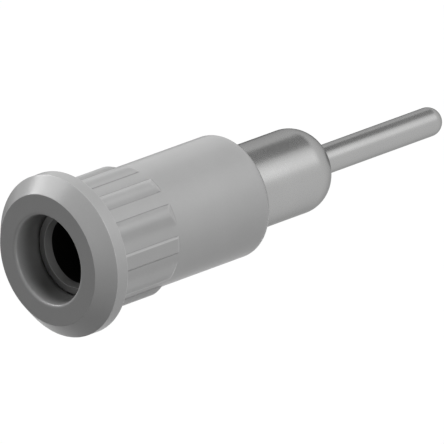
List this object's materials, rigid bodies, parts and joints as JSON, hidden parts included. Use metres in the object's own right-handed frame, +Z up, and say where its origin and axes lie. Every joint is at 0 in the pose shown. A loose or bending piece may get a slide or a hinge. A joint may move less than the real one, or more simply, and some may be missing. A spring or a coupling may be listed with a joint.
{
  "type": "banana socket",
  "caption": "Press-in panel socket for 4 mm banana plugs, with a ribbed insulating sleeve and a rigid contact that ends in a round solder pin.",
  "frame": {"origin": "centre of the flange's seating face, where the flange meets the panel", "axes": "+Y along the socket's axis, from the mouth towards the solder pin; +Z up, through one of the ribs"},
  "size_m": [0.01, 0.0328, 0.01],
  "materials": {
    "sleeve_plastic": "fine satin moulded polyamide, mid grey",
    "contact_metal": "nickel plated, satin turned"
  },
  "bodies": {
    "root": {"insulating_sleeve": "sleeve_plastic", "contact_socket": "contact_metal"}
  },
  "joints": []
}
